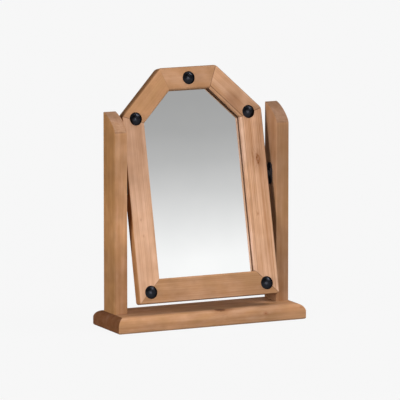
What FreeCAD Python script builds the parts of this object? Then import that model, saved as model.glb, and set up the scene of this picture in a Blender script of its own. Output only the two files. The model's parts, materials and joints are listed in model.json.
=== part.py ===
import FreeCAD, Part
import math
import os

# A tilting dressing table mirror on a wooden stand.
# Millimetres, +Z up, the front faces -Y, origin at the middle of the base's underside.

# Base board
base_depth = 147.0
base_thickness = 36.2
base_overhang = 17.0          # base end beyond each post's outer face
base_top_round = 20.0
base_foot_round = 5.0
base_corner_round = 1.5       # upright corners

# Posts
post_width = 32.5
post_depth = 63.0
post_height = 467.8           # above the base board
post_set_back = 18.0          # post's middle behind the base's middle
crown_drop = 40.0             # fall of the curved top from back to front
crown_middle_drop = 13.0      # fall half way along the curve
crown_nose_round = 20.0
post_edge_round = 2.0

# Mirror frame, measured from the pivot axis
frame_width = 361.0
frame_thickness = 25.0
base_clearance = 17.6         # under the frame's bottom edge when it hangs upright
pivot_to_top = 262.3
shoulder_cut = 107.0          # both legs of the cut top corners
stile_width = 56.5            # stiles and bottom rail
crown_width = 53.5            # shoulders and top rail
crown_corner_round = 16.0     # the four upper corners of the outline
foot_corner_round = 6.0       # the two bottom corners
outer_round = 3.0
inner_round = 5.0
back_round = 4.0
lip_depth = 13.0              # wood in front of the glass
mitre_overrun = 5.0           # mitre cuts run this far past the wood's edges

# Glass and back panel in the frame's stepped rebate
glass_thickness = 4.0
glass_ledge = 6.0             # lip that the glass rests on
glass_clearance = 1.0
panel_thickness = 4.0
panel_ledge = 12.0            # wider step that the panel is screwed to
panel_clearance = 0.5

# Domed studs
stud_diameter = 31.0
stud_height = 8.0
stud_peg_diameter = 6.0
stud_peg_length = 7.0
lower_stud_in = 31.0          # from the stile's outer edge
lower_stud_up = 26.5          # from the frame's bottom edge
upper_stud_in = 35.0
upper_stud_down = 8.0         # below the shoulder corner

# Pivot hardware in the gap between post and stile
pivot_height = 338.0
pivot_set_back = 1.6          # pivot axis behind the post's middle
rest_tilt = 13.2              # degrees, top leaning back
side_gap = 12.0
plate_thickness = 2.5
post_plate_height = 51.0
post_plate_width = 20.0
block_height = 25.0           # raised middle of the post plate
block_width = 24.0
block_thickness = 4.5
block_round = 3.0
block_edge_round = 0.8
frame_plate_height = 58.0
frame_plate_width = 16.0
pin_diameter = 6.0
pin_head_diameter = 11.0
pin_head_thickness = 1.6
pin_end = 1.5                 # pin beyond the nut
washer_diameter = 16.0
washer_thickness = 1.5
spring_diameter = 12.0
spring_thickness = 1.2
nut_flats = 10.0
nut_thickness = 5.0
pocket_clearance = 1.0
running_clearance = 0.05
plate_screw_margin = 7.5      # screw centre from the plate's end

# Fasteners: diameters, head diameters and lengths
plate_screw = (3.5, 7.0, 22.0)
panel_screw = (3.0, 6.0, 12.0)
post_screw = (6.0, 12.0, 80.0)
post_screw_recess = 2.0
post_dowel_diameter = 8.0
post_dowel_length = 40.0
post_dowel_spacing = 38.0
mitre_dowel_diameter = 6.0
mitre_dowel_length = 28.0
mitre_dowel_depth = 12.0      # axis behind the frame's front face
mitre_dowel_places = (0.25, 0.62)  # along the mitre, from its outer corner
drive_depth = 1.0             # cross recess in a screw head
drive_width = 0.8
drive_share = 0.55            # cross span over head diameter
screw_tip_share = 0.25        # tip radius over shank radius
hole_clearance = 0.1

# Panel screws on each frame member, in the order of the frame's corners
panel_screw_counts = (3, 3, 2, 2, 2, 3)

# Places that follow from the sizes above
pivot_to_bottom = pivot_height - base_thickness - base_clearance
half_frame = frame_width / 2
stile_face = half_frame
post_face = half_frame + side_gap
half_base = post_face + post_width + base_overhang
end_reach = min(base_overhang, base_top_round)
end_drop = math.sqrt(end_reach * (2 * base_top_round - end_reach))
post_front = post_set_back - post_depth / 2
post_back = post_set_back + post_depth / 2
post_top = base_thickness + post_height
front_face = -frame_thickness / 2
half_crown = half_frame - shoulder_cut
shoulder = pivot_to_top - shoulder_cut
pin_radius = pin_diameter / 2
boss_thickness = side_gap - block_thickness - washer_thickness
nut_corner = nut_flats / 2 / math.cos(math.radians(30))
pocket_radius = max(nut_corner, spring_diameter / 2) + pocket_clearance
pocket_depth = spring_thickness + nut_thickness + pin_end + pocket_clearance

glass_wall = stile_width - glass_ledge
panel_wall = glass_wall - panel_ledge
panel_depth = lip_depth + glass_thickness

V = FreeCAD.Vector
FRONT = V(0, -1, 0)
BACK = V(0, 1, 0)
LEFT = V(-1, 0, 0)
RIGHT = V(1, 0, 0)
UP = V(0, 0, 1)
pivot = V(0, post_set_back + pivot_set_back, pivot_height)
tolerance = 1e-6

# The frame's outer corners in its own upright plane, seen from the front
outer = [
    V(-half_frame, 0, -pivot_to_bottom),
    V(half_frame, 0, -pivot_to_bottom),
    V(half_frame, 0, shoulder),
    V(half_crown, 0, pivot_to_top),
    V(-half_crown, 0, pivot_to_top),
    V(-half_frame, 0, shoulder),
]
member_names = [
    "frame_bottom_rail",
    "frame_right_stile",
    "frame_right_shoulder",
    "frame_top_rail",
    "frame_left_shoulder",
    "frame_left_stile",
]
member_widths = [stile_width, stile_width, crown_width, crown_width, crown_width, stile_width]
parts = {}


def rounded_face(points, radii):
    """Flat face through the points, with an arc of the given radius at each corner."""
    edges = []
    starts = []
    ends = []
    arcs = []
    count = len(points)
    for i, corner in enumerate(points):
        back = (points[i - 1] - corner).normalize()
        ahead = (points[(i + 1) % count] - corner).normalize()
        if radii[i] <= 0:
            starts.append(corner)
            ends.append(corner)
            arcs.append(None)
            continue
        half = back.getAngle(ahead) / 2
        inward = (back + ahead).normalize()
        reach = radii[i] / math.tan(half)
        middle = corner + inward * (radii[i] / math.sin(half) - radii[i])
        starts.append(corner + back * reach)
        ends.append(corner + ahead * reach)
        arcs.append(Part.Arc(starts[i], middle, ends[i]).toShape())
    for i in range(count):
        if arcs[i]:
            edges.append(arcs[i])
        following = starts[(i + 1) % count]
        if (following - ends[i]).Length > tolerance:
            edges.append(Part.LineSegment(ends[i], following).toShape())
    return Part.Face(Part.Wire(edges))


def plate(x, width, height, corner_round, thickness):
    """Plate standing in the YZ plane at x, centred on the pivot axis; thickness along X."""
    y, z = width / 2, height / 2
    points = [V(x, -y, -z), V(x, y, -z), V(x, y, z), V(x, -y, z)]
    return rounded_face(points, [corner_round] * 4).extrude(V(thickness, 0, 0))


def place(shape, origin, direction):
    """Copy of a shape made along +Z, moved to the origin and turned along the direction."""
    turn = FreeCAD.Rotation(UP, direction)
    return shape.transformed(FreeCAD.Placement(origin, turn).toMatrix(), True)


def rod(radius, start, direction, length):
    """Round bar or hole from a start point."""
    return Part.makeCylinder(radius, length, start, direction)


def ring(outer_radius, inner_radius, start, direction, thickness):
    """Flat washer."""
    disc = rod(outer_radius, start, direction, thickness)
    return disc.cut(rod(inner_radius, start, direction, thickness))


def mirrored(shape):
    """The same piece on the left side."""
    return shape.mirror(V(0, 0, 0), V(1, 0, 0))


def screw_body(sizes, clearance=0.0):
    """Countersunk screw along +Z with the top of its head at the origin, or its hole."""
    diameter, head_diameter, length = sizes
    radius = diameter / 2 + clearance
    head_radius = head_diameter / 2 + clearance
    head_height = (head_diameter - diameter) / 2
    head = Part.makeCone(head_radius, radius, head_height)
    shank = rod(radius, V(0, 0, head_height), UP, length - head_height - diameter)
    tip = Part.makeCone(radius, radius * screw_tip_share, diameter, V(0, 0, length - diameter))
    return head.fuse([shank, tip]).removeSplitter()


def screw(sizes):
    """Countersunk screw with a cross recess."""
    span = sizes[1] * drive_share
    across = Part.makeBox(span, drive_width, drive_depth, V(-span / 2, -drive_width / 2, 0))
    along = Part.makeBox(drive_width, span, drive_depth, V(-drive_width / 2, -span / 2, 0))
    return screw_body(sizes).cut(across.fuse(along))


def stud():
    """Domed stud along +Z with its peg below the origin."""
    radius = stud_diameter / 2
    ball = (radius ** 2 + stud_height ** 2) / (2 * stud_height)
    cut_box = Part.makeBox(2 * radius, 2 * radius, stud_height, V(-radius, -radius, 0))
    dome = Part.makeSphere(ball, V(0, 0, stud_height - ball)).common(cut_box)
    peg = rod(stud_peg_diameter / 2, V(0, 0, -stud_peg_length), UP, stud_peg_length)
    return dome.fuse(peg)


def to_pivot(shape):
    """Stand hardware moved from the pivot's own frame to the stand."""
    return shape.translated(pivot)


def to_rest(shape):
    """Mirror piece turned from its upright plane to the rest tilt."""
    return shape.rotated(V(0, 0, 0), V(1, 0, 0), -rest_tilt).translated(pivot)


def inward(along):
    """Direction from a frame side towards the opening."""
    return V(-along.z, 0, along.x)


def inner_corners():
    """Corners of the opening, where the members' inner edges cross."""
    corners = []
    count = len(outer)
    for i in range(count):
        before = (outer[i] - outer[i - 1]).normalize()
        after = (outer[(i + 1) % count] - outer[i]).normalize()
        start = outer[i] + inward(before) * member_widths[i - 1]
        target = outer[i] + inward(after) * member_widths[i]
        run = (target - start).dot(inward(after)) / before.dot(inward(after))
        corners.append(start + before * run)
    return corners


inner = inner_corners()


def outline_at(edge_distance):
    """Corners of the outline that lies this far inside the stiles, on the mitre lines."""
    share = edge_distance / stile_width
    return [o + (i - o) * share for o, i in zip(outer, inner)]


def sheet(corners, depth, thickness):
    """Flat sheet with these corners, its front this far behind the frame's front face."""
    drop = V(0, front_face + depth, 0)
    wire = Part.makePolygon([c + drop for c in corners + corners[:1]])
    return Part.Face(wire).extrude(BACK * thickness)


def lies_at(edge, y):
    """Whether an edge lies in the upright plane at y."""
    box = edge.BoundBox
    return box.YLength < tolerance and abs(box.YMin - y) < tolerance


def frame_outline():
    """The frame's whole outline as a block with rounded corners and outer edges."""
    bottom, upper = [foot_corner_round] * 2, [crown_corner_round] * 4
    points = [c + V(0, front_face, 0) for c in outer]
    block = rounded_face(points, bottom + upper).extrude(BACK * frame_thickness)
    for y, radius in ((front_face, outer_round), (-front_face, back_round)):
        block = block.makeFillet(radius, [e for e in block.Edges if lies_at(e, y)])
    return block


def frame_member(i, outline):
    """One mitred frame member, cut from the outline, with its rounded inner edge and stepped rebate."""
    a, b = outer[i], outer[(i + 1) % len(outer)]
    across = inward((b - a).normalize())
    width = member_widths[i]
    scale = width / stile_width

    def at(distance, depth):
        return a + across * distance + V(0, front_face + depth, 0)

    section = [
        at(-mitre_overrun, 0),
        at(width, 0),
        at(width, lip_depth),
        at(glass_wall * scale, lip_depth),
        at(glass_wall * scale, panel_depth),
        at(panel_wall * scale, panel_depth),
        at(panel_wall * scale, frame_thickness),
        at(-mitre_overrun, frame_thickness),
    ]
    radii = [0, inner_round, 0, 0, 0, 0, 0, 0]
    bar = rounded_face(section, radii).extrude(b - a)
    far_out = outline_at(-mitre_overrun)
    far_in = outline_at(stile_width + mitre_overrun)
    j = (i + 1) % len(outer)
    mitres = sheet([far_out[i], far_out[j], far_in[j], far_in[i]], 0, frame_thickness)
    return bar.common(mitres).common(outline)


def stud_places():
    """Stud names and their places on the frame's front face."""
    lower = V(half_frame - lower_stud_in, front_face, lower_stud_up - pivot_to_bottom)
    upper = V(half_frame - upper_stud_in, front_face, shoulder - upper_stud_down)
    return {
        "stud_top": V(0, front_face, pivot_to_top - crown_width / 2),
        "stud_upper_left": V(-upper.x, upper.y, upper.z),
        "stud_upper_right": upper,
        "stud_lower_left": V(-lower.x, lower.y, lower.z),
        "stud_lower_right": lower,
    }


def mitre_dowel_axes():
    """Start point and direction of each dowel across a mitre."""
    axes = []
    for o, i in zip(outer, inner):
        direction = inward((i - o).normalize())
        for share in mitre_dowel_places:
            middle = o + (i - o) * share + V(0, front_face + mitre_dowel_depth, 0)
            axes.append((middle - direction * (mitre_dowel_length / 2), direction))
    return axes


def panel_screw_places():
    """Screw places along the middle of the panel's step, on the panel's back."""
    places = []
    corners = outline_at(panel_wall + panel_ledge / 2)
    depth = V(0, front_face + panel_depth + panel_thickness, 0)
    for i, count in enumerate(panel_screw_counts):
        a, b = corners[i], corners[(i + 1) % len(corners)]
        for k in range(count):
            places.append(a + (b - a) * ((k + 0.5) / count) + depth)
    return places


def plate_screw_places(x, height):
    """The two screws of a pivot plate whose outer face is at x."""
    z = height / 2 - plate_screw_margin
    return [V(x, 0, z), V(x, 0, -z)]


def make_base():
    """Base board: a long and a cross section, both rounded, meeting in mitred corners."""
    x, y, z = half_base, base_depth / 2, base_thickness
    radii = [base_foot_round, base_foot_round, base_top_round, base_top_round]
    # The ends' round is set high enough to reach the top at the posts' outer faces
    end_top = z - end_drop + base_top_round
    long_points = [V(-x, -y, 0), V(x, -y, 0), V(x, -y, end_top), V(-x, -y, end_top)]
    cross_points = [V(-x, -y, 0), V(-x, y, 0), V(-x, y, z), V(-x, -y, z)]
    long_bar = rounded_face(long_points, radii).extrude(BACK * base_depth)
    cross_bar = rounded_face(cross_points, radii).extrude(RIGHT * (2 * x))
    plan_points = [V(-x, -y, 0), V(x, -y, 0), V(x, y, 0), V(-x, y, 0)]
    plan = rounded_face(plan_points, [base_corner_round] * 4).extrude(UP * z)
    return long_bar.common(cross_bar).common(plan)


def runs_at(edge, y, z):
    """Whether an edge runs along X at this place."""
    points = [v.Point for v in edge.Vertexes]
    return all(abs(p.y - y) < tolerance and abs(p.z - z) < tolerance for p in points)


def on_post_side(edge):
    """Whether an edge lies in one of the right post's two side faces, clear of its foot."""
    box = edge.BoundBox
    sides = (post_face, post_face + post_width)
    in_side = box.XLength < tolerance and any(abs(box.XMin - x) < tolerance for x in sides)
    return in_side and box.ZMax > base_thickness + tolerance


def make_post():
    """Right post: straight sides and a curved top that falls to the front."""
    x, middle = post_face, post_set_back
    front_bottom = V(x, post_front, base_thickness)
    back_bottom = V(x, post_back, base_thickness)
    back_top = V(x, post_back, post_top)
    crest = V(x, middle, post_top - crown_middle_drop)
    front_top = V(x, post_front, post_top - crown_drop)
    edges = [
        Part.LineSegment(front_bottom, back_bottom).toShape(),
        Part.LineSegment(back_bottom, back_top).toShape(),
        Part.Arc(back_top, crest, front_top).toShape(),
        Part.LineSegment(front_top, front_bottom).toShape(),
    ]
    solid = Part.Face(Part.Wire(edges)).extrude(V(post_width, 0, 0))
    nose = [e for e in solid.Edges if runs_at(e, front_top.y, front_top.z)]
    solid = solid.makeFillet(crown_nose_round, nose)
    return solid.makeFillet(post_edge_round, [e for e in solid.Edges if on_post_side(e)])


def make_post_fixings():
    """Dowel and screw axes of the right post: start points on the base's underside side."""
    x = post_face + post_width / 2
    low = base_thickness - post_dowel_length / 2
    dowels = [V(x, post_set_back + side * post_dowel_spacing / 2, low) for side in (-1, 1)]
    return dowels, V(x, post_set_back, post_screw_recess)


def make_stand():
    """Base, posts and what joins them."""
    dowel_places, screw_place = make_post_fixings()
    dowels = [rod(post_dowel_diameter / 2, p, UP, post_dowel_length) for p in dowel_places]
    hole_radius = post_dowel_diameter / 2 + hole_clearance
    holes = [rod(hole_radius, p, UP, post_dowel_length) for p in dowel_places]
    holes.append(place(screw_body(post_screw, hole_clearance), screw_place, UP))
    head_hole = post_screw[1] / 2 + hole_clearance
    holes.append(rod(head_hole, V(screw_place.x, screw_place.y, 0), UP, post_screw_recess))
    fixing = place(screw(post_screw), screw_place, UP)
    post = make_post().cut(holes)
    plate_hole = screw_body(plate_screw, hole_clearance)
    for p in plate_screw_places(post_face - plate_thickness, post_plate_height):
        post = post.cut(to_pivot(place(plate_hole, p, RIGHT)))
    parts["base_board"] = make_base().cut(holes + [mirrored(h) for h in holes])
    parts["right_post"] = post
    parts["left_post"] = mirrored(post)
    parts["post_dowels"] = Part.makeCompound(dowels + [mirrored(d) for d in dowels])
    parts["post_screws"] = Part.makeCompound([fixing, mirrored(fixing)])


def make_post_plate():
    """Right post plate: two tongues and a raised middle block."""
    end_round = post_plate_width / 2
    tongues = plate(post_face, post_plate_width, post_plate_height, end_round, -plate_thickness)
    block = plate(post_face, block_width, block_height, block_round, -block_thickness)
    outer_x = post_face - block_thickness
    rim = [e for e in block.Edges if e.BoundBox.XMax < outer_x + tolerance]
    solid = tongues.fuse(block.makeFillet(block_edge_round, rim)).removeSplitter()
    start = V(post_face, 0, 0)
    holes = [rod(pin_radius + running_clearance, start, LEFT, block_thickness)]
    head_hole = pin_head_diameter / 2 + running_clearance
    holes.append(rod(head_hole, start, LEFT, pin_head_thickness))
    for p in plate_screw_places(post_face - plate_thickness, post_plate_height):
        holes.append(place(screw_body(plate_screw, hole_clearance), p, RIGHT))
    return solid.cut(holes)


def make_frame_plate():
    """Right frame plate on the stile's outer edge, with its round boss."""
    end_round = frame_plate_width / 2
    flat = plate(stile_face, frame_plate_width, frame_plate_height, end_round, plate_thickness)
    boss = rod(washer_diameter / 2, V(stile_face, 0, 0), RIGHT, boss_thickness)
    solid = flat.fuse(boss).removeSplitter()
    holes = [rod(pin_radius + running_clearance, V(stile_face, 0, 0), RIGHT, boss_thickness)]
    for p in plate_screw_places(stile_face + plate_thickness, frame_plate_height):
        holes.append(place(screw_body(plate_screw, hole_clearance), p, LEFT))
    return solid.cut(holes)


def make_pin():
    """Right pivot pin, from its head in the post plate to its end in the stile's pocket."""
    length = side_gap + spring_thickness + nut_thickness + pin_end
    shank = rod(pin_radius, V(post_face, 0, 0), LEFT, length)
    head = rod(pin_head_diameter / 2, V(post_face, 0, 0), LEFT, pin_head_thickness)
    return shank.fuse(head).removeSplitter()


def make_nut():
    """Right pivot nut, behind the disc spring in the stile's pocket."""
    x = stile_face - spring_thickness
    angles = [math.radians(60 * k) for k in range(7)]
    wire = Part.makePolygon([V(x, nut_corner * math.cos(a), nut_corner * math.sin(a)) for a in angles])
    nut = Part.Face(wire).extrude(LEFT * nut_thickness)
    return nut.cut(rod(pin_radius + running_clearance, V(x, 0, 0), LEFT, nut_thickness))


def make_pivots():
    """Pivot hardware of both sides."""
    washer_x = post_face - block_thickness
    loose_radius = pin_radius + running_clearance
    washer = ring(washer_diameter / 2, loose_radius, V(washer_x, 0, 0), LEFT, washer_thickness)
    spring = ring(spring_diameter / 2, loose_radius, V(stile_face, 0, 0), LEFT, spring_thickness)
    stand_pieces = {
        "post_plate": make_post_plate(),
        "pivot_pin": make_pin(),
        "friction_washer": washer,
        "disc_spring": spring,
        "pivot_nut": make_nut(),
    }
    for name, shape in stand_pieces.items():
        parts["right_" + name] = to_pivot(shape)
        parts["left_" + name] = to_pivot(mirrored(shape))
    frame_plate = make_frame_plate()
    parts["right_frame_plate"] = to_rest(frame_plate)
    parts["left_frame_plate"] = to_rest(mirrored(frame_plate))
    post_places = plate_screw_places(post_face - plate_thickness, post_plate_height)
    frame_places = plate_screw_places(stile_face + plate_thickness, frame_plate_height)
    post_screws = [place(screw(plate_screw), p, RIGHT) for p in post_places]
    frame_screws = [place(screw(plate_screw), p, LEFT) for p in frame_places]
    post_group = post_screws + [mirrored(s) for s in post_screws]
    frame_group = frame_screws + [mirrored(s) for s in frame_screws]
    parts["post_plate_screws"] = Part.makeCompound([to_pivot(s) for s in post_group])
    parts["frame_plate_screws"] = Part.makeCompound([to_rest(s) for s in frame_group])


def make_mirror():
    """Frame, glass, back panel, studs and their fixings."""
    studs = stud_places()
    dowels = mitre_dowel_axes()
    panel_places = panel_screw_places()
    panel_hole = screw_body(panel_screw, hole_clearance)
    panel_holes = [place(panel_hole, p, FRONT) for p in panel_places]
    plate_holes = []
    for p in plate_screw_places(stile_face + plate_thickness, frame_plate_height):
        plate_holes.append(place(screw_body(plate_screw, hole_clearance), p, LEFT))
    plate_holes.append(rod(pocket_radius, V(stile_face, 0, 0), LEFT, pocket_depth))
    peg_radius = stud_peg_diameter / 2 + hole_clearance
    cuts = [rod(peg_radius, p, BACK, stud_peg_length + hole_clearance) for p in studs.values()]
    cuts += [
        rod(mitre_dowel_diameter / 2 + hole_clearance, start, direction, mitre_dowel_length)
        for start, direction in dowels
    ]
    cuts += panel_holes + plate_holes + [mirrored(h) for h in plate_holes]
    outline = frame_outline()
    for i, name in enumerate(member_names):
        parts[name] = to_rest(frame_member(i, outline).cut(cuts))
    glass = sheet(outline_at(glass_wall + glass_clearance), lip_depth, glass_thickness)
    panel = sheet(outline_at(panel_wall + panel_clearance), panel_depth, panel_thickness)
    parts["mirror_glass"] = to_rest(glass)
    parts["back_panel"] = to_rest(panel.cut(panel_holes))
    for name, p in studs.items():
        parts[name] = to_rest(place(stud(), p, FRONT))
    pegs = [rod(mitre_dowel_diameter / 2, start, d, mitre_dowel_length) for start, d in dowels]
    parts["mitre_dowels"] = Part.makeCompound([to_rest(p) for p in pegs])
    small_screw = screw(panel_screw)
    parts["back_panel_screws"] = Part.makeCompound(
        [to_rest(place(small_screw, p, FRONT)) for p in panel_places]
    )


make_stand()
make_pivots()
make_mirror()

os.makedirs("parts", exist_ok=True)
for name, shape in parts.items():
    if not shape.isValid():
        raise ValueError("not a valid solid: " + name)
    shape.exportStep("parts/" + name + ".step")
    print(name, len(shape.Solids), round(shape.Volume, 1))
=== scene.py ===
import json
import logging
import math
from dataclasses import dataclass
from enum import Enum

import bmesh
import bpy
from mathutils import Matrix, Vector


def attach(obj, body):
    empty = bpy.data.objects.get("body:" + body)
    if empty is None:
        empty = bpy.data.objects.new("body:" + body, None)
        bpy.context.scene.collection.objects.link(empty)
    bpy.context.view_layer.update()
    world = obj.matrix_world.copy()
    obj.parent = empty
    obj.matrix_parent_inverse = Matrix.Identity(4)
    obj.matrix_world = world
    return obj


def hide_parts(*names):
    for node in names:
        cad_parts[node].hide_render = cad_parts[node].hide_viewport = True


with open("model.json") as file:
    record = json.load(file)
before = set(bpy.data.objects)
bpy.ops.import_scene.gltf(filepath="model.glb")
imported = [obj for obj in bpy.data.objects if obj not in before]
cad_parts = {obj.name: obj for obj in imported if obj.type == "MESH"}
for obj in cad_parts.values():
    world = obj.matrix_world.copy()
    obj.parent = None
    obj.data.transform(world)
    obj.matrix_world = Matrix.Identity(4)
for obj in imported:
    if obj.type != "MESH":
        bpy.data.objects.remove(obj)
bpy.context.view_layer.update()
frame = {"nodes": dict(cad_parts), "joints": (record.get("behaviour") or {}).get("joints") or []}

# Looks, studio and camera for a tilting dressing table mirror in waxed pine.
# Metres, +Z up, the front faces -Y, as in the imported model.

log = logging.getLogger("dressing_table_mirror")

Colour = tuple[float, float, float]
Socket = bpy.types.NodeSocket
Value = float | Colour | Vector | Socket


class Body(Enum):
    """Bodies that new pieces ride on."""

    MIRROR = "mirror"


class Slot(Enum):
    """Material slots that new pieces take."""

    SILVERED_GLASS = "silvered_glass"


class Side(Enum):
    """The two sides of the stand, as seen from the front."""

    LEFT = "left"
    RIGHT = "right"


class Graph:
    """Node tree with a short call for each kind of node."""

    def __init__(self, tree: bpy.types.NodeTree) -> None:
        """Start with an empty tree.

        Args:
            tree: node tree of a material or a world.
        """
        self.tree = tree
        self.tree.nodes.clear()

    def feed(self, socket: Socket, value: Value) -> None:
        """Link a socket, or set its own value.

        Args:
            socket: input of a node.
            value: another node's output, or a constant.
        """
        if isinstance(value, bpy.types.NodeSocket):
            self.tree.links.new(value, socket)
        elif socket.type == "RGBA" and len(value) == 3:
            socket.default_value = (*value, 1.0)
        else:
            socket.default_value = value

    def node(self, kind: str, inputs: dict[str | int, Value], **settings: object) -> bpy.types.Node:
        """Add a node.

        Args:
            kind: node type without its ShaderNode prefix.
            inputs: values by input name or number.
            settings: the node's own options.

        Returns:
            The new node.
        """
        made = self.tree.nodes.new("ShaderNode" + kind)
        for option, choice in settings.items():
            setattr(made, option, choice)
        for key, value in inputs.items():
            self.feed(made.inputs[key], value)
        return made

    def math(self, operation: str, *values: Value) -> Socket:
        """Result of one Math node on the given values."""
        return self.node("Math", dict(enumerate(values)), operation=operation).outputs[0]

    def times(self, first: Value, second: Value) -> Socket:
        """Product of two numbers."""
        return self.math("MULTIPLY", first, second)

    def vector(self, operation: str, *values: Value) -> Socket:
        """Result of one Vector Math node; a length comes as a number."""
        made = self.node("VectorMath", dict(enumerate(values)), operation=operation)
        return made.outputs["Value" if operation == "LENGTH" else "Vector"]

    def scaled(self, colour: Value, factor: Value) -> Socket:
        """Colour or vector times a number."""
        made = self.node("VectorMath", {0: colour, "Scale": factor}, operation="SCALE")
        return made.outputs["Vector"]

    def split(self, vector: Value) -> tuple[Socket, Socket, Socket]:
        """The three numbers of a vector."""
        return tuple(self.node("SeparateXYZ", {0: vector}).outputs)

    def join(self, x: Value, y: Value, z: Value) -> Socket:
        """A vector from three numbers."""
        return self.node("CombineXYZ", {0: x, 1: y, 2: z}).outputs[0]

    def mix(self, factor: Value, first: Value, second: Value) -> Socket:
        """Colour between two others."""
        made = self.node("Mix", {0: factor, 6: first, 7: second}, data_type="RGBA")
        return made.outputs[2]

    def step(self, value: Value, start: float, end: float, low: float = 0.0, high: float = 1.0) -> Socket:
        """Smooth step.

        Args:
            value: number to map.
            start: value at which the step begins.
            end: value at which the step ends.
            low: result at the start.
            high: result at the end.

        Returns:
            The mapped number.
        """
        limits = {"Value": value, "From Min": start, "From Max": end, "To Min": low, "To Max": high}
        return self.node("MapRange", limits, interpolation_type="SMOOTHSTEP").outputs[0]

    def noise(self, place: Value, stretch: Colour, detail: float = 2.0, rough: float = 0.5) -> Socket:
        """Noise from 0 to 1.

        Args:
            place: coordinates in metres.
            stretch: features per metre along each axis.
            detail: octaves.
            rough: share of the finer octaves.

        Returns:
            The noise value.
        """
        stretched = self.vector("MULTIPLY", place, stretch)
        inputs = {"Vector": stretched, "Scale": 1.0, "Detail": detail, "Roughness": rough}
        return self.node("TexNoise", inputs).outputs[0]

    def swing(self, value: Socket, amount: float) -> Socket:
        """A 0 to 1 value turned into one that swings about zero."""
        return self.math("MULTIPLY_ADD", value, amount, -amount / 2)

    def total(self, *values: Value) -> Socket:
        """Sum of several numbers."""
        result = values[0]
        for value in values[1:]:
            result = self.math("ADD", result, value)
        return result

    def places(self, pose: Matrix | None = None) -> Socket:
        """Object coordinates, or coordinates in a board's own frame.

        Args:
            pose: the board's frame; its columns are the board's axes.

        Returns:
            The coordinates in metres.
        """
        found = self.node("TexCoord", {}).outputs["Object"]
        if pose is None:
            return found
        turned = {"Vector": found, "Location": pose.to_translation(), "Rotation": pose.to_euler("XYZ")}
        return self.node("Mapping", turned, vector_type="TEXTURE").outputs[0]

    def seen(self) -> Socket:
        """1 for rays from the camera and those that shiny or clear pieces send on, else 0."""
        path = self.node("LightPath", {}).outputs
        passed_on = self.math("MAXIMUM", path["Is Glossy Ray"], path["Is Transmission Ray"])
        return self.math("MAXIMUM", path["Is Camera Ray"], passed_on)


class Coat(Graph):
    """Material of one finish, built round a Principled shader."""

    def __init__(self, name: str) -> None:
        """Start the material.

        Args:
            name: name of the material.
        """
        self.material = bpy.data.materials.new(name)
        self.material.use_nodes = True
        super().__init__(self.material.node_tree)
        self.shader = self.node("BsdfPrincipled", {})
        self.output = self.node("OutputMaterial", {"Surface": self.shader.outputs["BSDF"]})

    def bump(self, height: Socket, strength: float, distance: float) -> None:
        """Raise the surface by a height pattern.

        Args:
            height: pattern, 1 is the full distance.
            strength: share of the effect.
            distance: depth of the relief in metres.
        """
        inputs = {"Height": height, "Strength": strength, "Distance": distance}
        self.feed(self.shader.inputs["Normal"], self.node("Bump", inputs).outputs[0])

    def dress(self, colour: Value, roughness: Value, **constants: Value) -> bpy.types.Material:
        """Set the shader's inputs.

        Args:
            colour: base colour.
            roughness: surface roughness.
            constants: other inputs, with underscores for the spaces in their names.

        Returns:
            The finished material.
        """
        self.feed(self.shader.inputs["Base Color"], colour)
        self.feed(self.shader.inputs["Roughness"], roughness)
        for name, value in constants.items():
            self.feed(self.shader.inputs[name.replace("_", " ")], value)
        return self.material


PLAIN: Colour = (1.0, 1.0, 1.0)
SEED_STEP = Vector((1.7, 0.9, 2.3))


def shade(tone: float) -> Colour:
    """Warm tint that paints shade on a board's side below 1 and paints light above 1."""
    return (tone, tone**1.1, tone**1.3)


@dataclass(frozen=True)
class Knot:
    """A knot in a board: its place, size, strength and tone; a hollow one has a pale middle."""

    along: float
    across: float
    radius: float
    strength: float = 0.8
    out: float = 0.0
    length: float = 1.6
    halo: float = 0.4
    hollow: float = 0.0
    tone: float = 1.0


@dataclass(frozen=True)
class Mitre:
    """A mitre at a board's end: a point on the joint line, its normal in the face, how dark it is."""

    along: float
    across: float
    normal: tuple[float, float]
    strength: float


@dataclass(frozen=True)
class Board:
    """One piece of pine: its own frame (along, across, out of the face) and its figure."""

    node: str
    pose: Matrix
    width: float
    thickness: float
    seed: float
    tone: float = 1.0
    drift: tuple[tuple[float, float], ...] = ()  # tone at places along the board
    blush: float = 0.3
    figure: float = 0.3
    streaks: float = 0.4
    cloud: float = 0.12
    blotch: float = 0.08
    mottle: float = 0.9
    pith: tuple[float, float] = (-0.07, -0.06)  # across from the middle, and out
    taper: float = 0.006
    wander: float = 0.012
    arris: tuple[float, float] = (0.80, 0.97)
    knots: tuple[Knot, ...] = ()
    mitres: tuple[Mitre, ...] = ()
    sides: tuple[Colour, Colour] = (PLAIN, PLAIN)  # tints of the two long sides, painted shade and light
    rounds: tuple[float, float] = (0.0022, 0.0022)  # how far each tint reaches over its edge
    fade: tuple[float, float, Colour] | None = None  # stretch along the board in which the first side's painted shadow turns to a lighter painted shade
    lip: tuple[float, float] | None = None  # depth where the painted shade at the inner edge's foot starts, and its gain per metre
    ends: tuple[float, float] | None = None  # half length, and reach of the end moulding
    crown: tuple[float, float] | None = None  # start and top of a post's curved end


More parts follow.
